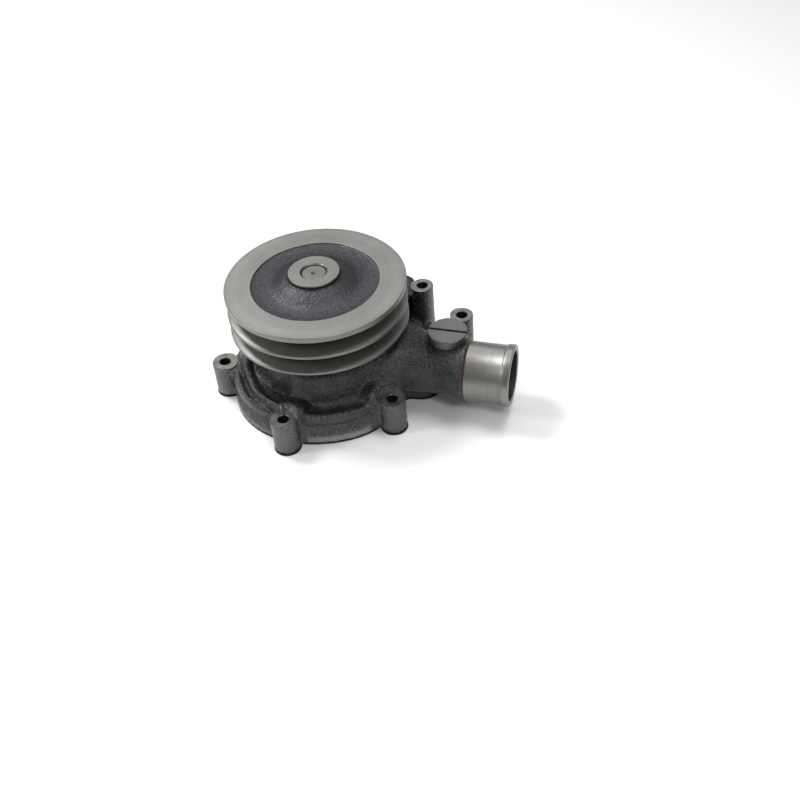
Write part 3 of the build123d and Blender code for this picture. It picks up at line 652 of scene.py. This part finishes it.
for boss_x, boss_y, boss_top, radius, spot_radius in bolt_bosses:
    top = boss_top + face_lift
    ring_edge = radius - face_inset
    ring_line = [(bolt_hole_radius, hole_bottom), (sleeve_radius, hole_bottom)]
    ring_line += [(sleeve_radius, top - face_drop), (ring_edge, top - face_drop), (ring_edge, top)]
    ring_line += [(bolt_hole_radius + hole_edge, top), (bolt_hole_radius, top - hole_edge)]
    ring_at, ring_faces = turned_shape(ring_line, (boss_x, boss_y, 0), False, spot_segments)
    spot_parts.append((ring_at, ring_faces))
    spot_bands += [1, 1, 0, 0, 0, 0, 1] * spot_segments
    # the cutter is wider than the boss, so on the side of the casting the flat reaches out to its radius
    inward = np.arctan2(-boss_y, -boss_x)
    ring_turn = np.arctan2(ring_at[:, 1] - boss_y, ring_at[:, 0] - boss_x)
    facing = np.clip(1.6 * np.cos(ring_turn - inward) + 0.2, 0, 1)
    outer = np.hypot(ring_at[:, 0] - boss_x, ring_at[:, 1] - boss_y) > 0.006
    swell = np.where(outer, 1 + (spot_radius / ring_edge - 1) * facing, 1.0)
    ring_at[:, 0] = boss_x + (ring_at[:, 0] - boss_x) * swell
    ring_at[:, 1] = boss_y + (ring_at[:, 1] - boss_y) * swell
spot_mesh = joined("boss_spot_faces", spot_parts, (spot_iron, bore_iron))
spot_mesh.polygons.foreach_set("material_index", spot_bands)
place_piece("boss_spot_faces", "casing", "cast_housing", spot_mesh)


# ---- turned hose stub ----
# The end of the inlet duct, turned round on the lathe to take a hose: a root collar left as cast, a barrel,
# and a low bead at the mouth that keeps the hose clip from sliding off. The bore is left dark.
def grained_finish(name, dark, light, metallic, gloss, scale, height):
    """A plain workshop finish: two tones of grain, roughness that follows it, and a fine bump."""
    material, shader = new_finish(name, light, metallic, gloss[0])
    speckle = grain(material, scale, 3.0)
    two_tones(material, spread(material, speckle, 0.0, 1.0), dark, light)
    wire(material, spread(material, speckle, gloss[0], gloss[1]), 0, shader, "Roughness")
    raise_surface(material, speckle, height, 0.8)
    return material


stub_iron = turned_finish("stub_turned_iron", (0.20, 0.197, 0.187), (0.255, 0.251, 0.238), 0.38,
                          axis="X", axis_point=stub_centre)
stub_end = 0.1595
stub_root = 0.1235
stub_bore = 0.0203
barrel_radius = 0.0240
bead_radius = 0.0250
collar_radius = 0.0258
stub_line = [(0.0212, 0.1196), (0.0248, 0.1202), (0.0256, 0.1207), (collar_radius, 0.1213)]
stub_line += [(collar_radius, stub_root - 0.0012), (0.0255, stub_root - 0.0006), (0.0240, stub_root)]
stub_line += [(barrel_radius - 0.0003, stub_root + 0.0003), (barrel_radius, stub_root + 0.0008)]
stub_line += [(barrel_radius, 0.1525), (barrel_radius + 0.0002, 0.1529), (bead_radius - 0.0002, 0.1536)]
stub_line += [(bead_radius, 0.1541), (bead_radius, stub_end - 0.0005), (bead_radius - 0.0005, stub_end)]
stub_line += [(stub_bore + 0.0006, stub_end), (stub_bore, stub_end - 0.0006), (stub_bore, 0.1216)]
rust_film = grained_finish("rust_film", (0.050, 0.026, 0.014), (0.16, 0.095, 0.055),
                           0.6, (0.45, 0.6), 900.0, 0.00008)
stub_bands = [1] * 5 + [3] * 2 + [0] * (len(stub_line) - 9) + [2] * 2
stub_mesh = lathe("hose_stub", stub_line, (stub_iron, cast_iron, bore_iron, rust_film), stub_bands,
                  axis_point=stub_centre, along_x=True, segments=160)
place_piece("hose_stub", "casing", "cast_housing", stub_mesh)


# ---- blanking plug ----
# A slotted iron plug, screwed into the boss on top of the duct against a soft copper washer. Its head is as
# wide as the boss and cast, with a sawn screwdriver slot right across it.
plug_centre = (0.1056, -0.0005)
plug_radius = 0.0157
plug_top = 0.0660
plug_seat = 0.0591
plug_edge = 0.0006
slot_half = 0.0010
slot_depth = 0.0025
slot_break = 0.0002
# rows from one side of the head to the other, closer together at its edges and at the slot; each row is a
# closed section of six points across the head, whose half width at y is the root of radius^2 - y^2
row = plug_radius * np.sin(np.radians(np.linspace(-89.5, 89.5, 72)))
row = row[np.abs(row) > slot_half]
slot_outside = slot_half + slot_break
cut_rows = np.array([-slot_outside, -slot_half, -slot_half, slot_half, slot_half, slot_outside])
cut_drop = np.array([0.0, slot_break, slot_depth, slot_depth, slot_break, 0.0])
before_cut = int((row < 0).sum())
row_y = np.concatenate((row[:before_cut], cut_rows, row[before_cut:]))
row_drop = np.concatenate((np.zeros(before_cut), cut_drop, np.zeros(len(row) - before_cut)))
half_width = np.sqrt(np.maximum(plug_radius ** 2 - row_y ** 2, 1e-9))
top_width = np.sqrt(np.maximum((plug_radius - plug_edge) ** 2 - row_y ** 2, 1e-9))
row_top = plug_top - row_drop - np.clip(np.abs(row_y) - (plug_radius - plug_edge), 0, None)
foot = np.full_like(row_y, plug_seat)
ring_x = np.stack((-half_width, half_width, half_width, top_width, -top_width, -half_width), axis=1)
shoulder = row_top - np.where(top_width > 1e-4, plug_edge, 0.0)
ring_z = np.stack((foot, foot, shoulder, row_top, row_top, shoulder), axis=1)
ring_y = np.repeat(row_y[:, None], 6, axis=1)
plug_points = np.stack((plug_centre[0] + ring_x, plug_centre[1] + ring_y, ring_z), axis=-1)
plug_iron, plug_shader = new_finish("plug_iron", (0.11, 0.11, 0.108), 0.85, 0.42)
plug_grit = grain(plug_iron, 1000.0, 3.0)
two_tones(plug_iron, spread(plug_iron, plug_grit, 0.0, 1.0), (0.075, 0.075, 0.074), (0.17, 0.168, 0.163))
wire(plug_iron, spread(plug_iron, plug_grit, 0.34, 0.52), 0, plug_shader, "Roughness")
raise_surface(plug_iron, plug_grit, 0.00022, 0.9)
plug_mesh = joined("slotted_plug", [closed_tube(plug_points)], (plug_iron,))
place_piece("slotted_plug", "casing", "plug_steel", plug_mesh, "blanking_plug")


# ---- gasket ----
# A thin steel sheet coated with black rubber, cut to the flange's outline and pinched between the flange
# and the engine. Its own bolt holes line up with the bosses.
def paint_nodes(material, *nodes):
    """Gives the CAD nodes that stay on show this finish."""
    for node in nodes:
        node_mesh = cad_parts[node].data
        node_mesh.materials.clear()
        node_mesh.materials.append(material)


gasket_rubber = grained_finish("gasket_coating", (0.010, 0.010, 0.011), (0.026, 0.026, 0.028),
                               0.0, (0.38, 0.55), 700.0, 0.00004)
paint_nodes(gasket_rubber, "gasket")

# ---- plug washer ----
# The annealed copper ring that the slotted plug is tightened down on. Its outer rim is hidden in the head's
# recess.
washer_copper = grained_finish("washer_copper", (0.32, 0.13, 0.07), (0.58, 0.27, 0.16),
                               1.0, (0.28, 0.42), 500.0, 0.00003)
paint_nodes(washer_copper, "plug_washer")

# ---- bearing ----
# A sealed double-row bearing pressed into the neck of the casting: ground steel ring, balls and rollers,
# moulded nylon cages, rubber lip seals at both ends, and a circlip of spring steel above it.
bearing_steel = turned_finish("bearing_steel", (0.36, 0.36, 0.355), (0.58, 0.58, 0.57), 0.2)
paint_nodes(bearing_steel, "bearing_outer_ring", "bearing_balls", "bearing_rollers")
cage_nylon = grained_finish("cage_nylon", (0.44, 0.38, 0.25), (0.60, 0.54, 0.39),
                            0.0, (0.4, 0.55), 260.0, 0.00004)
paint_nodes(cage_nylon, "ball_cage", "roller_cage")
lip_rubber = grained_finish("lip_rubber", (0.008, 0.008, 0.008), (0.022, 0.021, 0.020),
                            0.0, (0.5, 0.68), 600.0, 0.00005)
paint_nodes(lip_rubber, "bearing_seal_front", "bearing_seal_rear", "seal_bellows", "mating_ring_boot")
spring_steel = grained_finish("spring_steel", (0.10, 0.10, 0.11), (0.24, 0.24, 0.25),
                              1.0, (0.26, 0.38), 520.0, 0.00003)
paint_nodes(spring_steel, "bearing_circlip", "seal_spring", "slinger")

# ---- face seal ----
# The coolant seal round the spindle: a pressed brass cup with a rubber bellows and spring that push a carbon
# ring against a white ceramic ring, which turns with the impeller.
cup_brass = turned_finish("cup_brass", (0.42, 0.29, 0.11), (0.62, 0.46, 0.20), 0.26)
paint_nodes(cup_brass, "seal_cup")
carbon = grained_finish("lapped_carbon", (0.012, 0.012, 0.013), (0.035, 0.035, 0.037),
                        0.1, (0.25, 0.4), 800.0, 0.00002)
paint_nodes(carbon, "seal_carbon_ring")
ceramic = grained_finish("lapped_ceramic", (0.66, 0.63, 0.57), (0.82, 0.80, 0.74),
                         0.0, (0.12, 0.22), 340.0, 0.00001)
paint_nodes(ceramic, "seal_mating_ring")

# ---- impeller ----
# The open pump wheel, a sand casting with six curved vanes, pressed on the foot of the spindle. It is
# rougher than the housing and only its hub is machined.
impeller_iron = grained_finish("impeller_cast_iron", (0.045, 0.045, 0.046), (0.13, 0.128, 0.124),
                               0.8, (0.35, 0.55), 620.0, 0.0004)
paint_nodes(impeller_iron, "impeller")

bpy.context.view_layer.update()
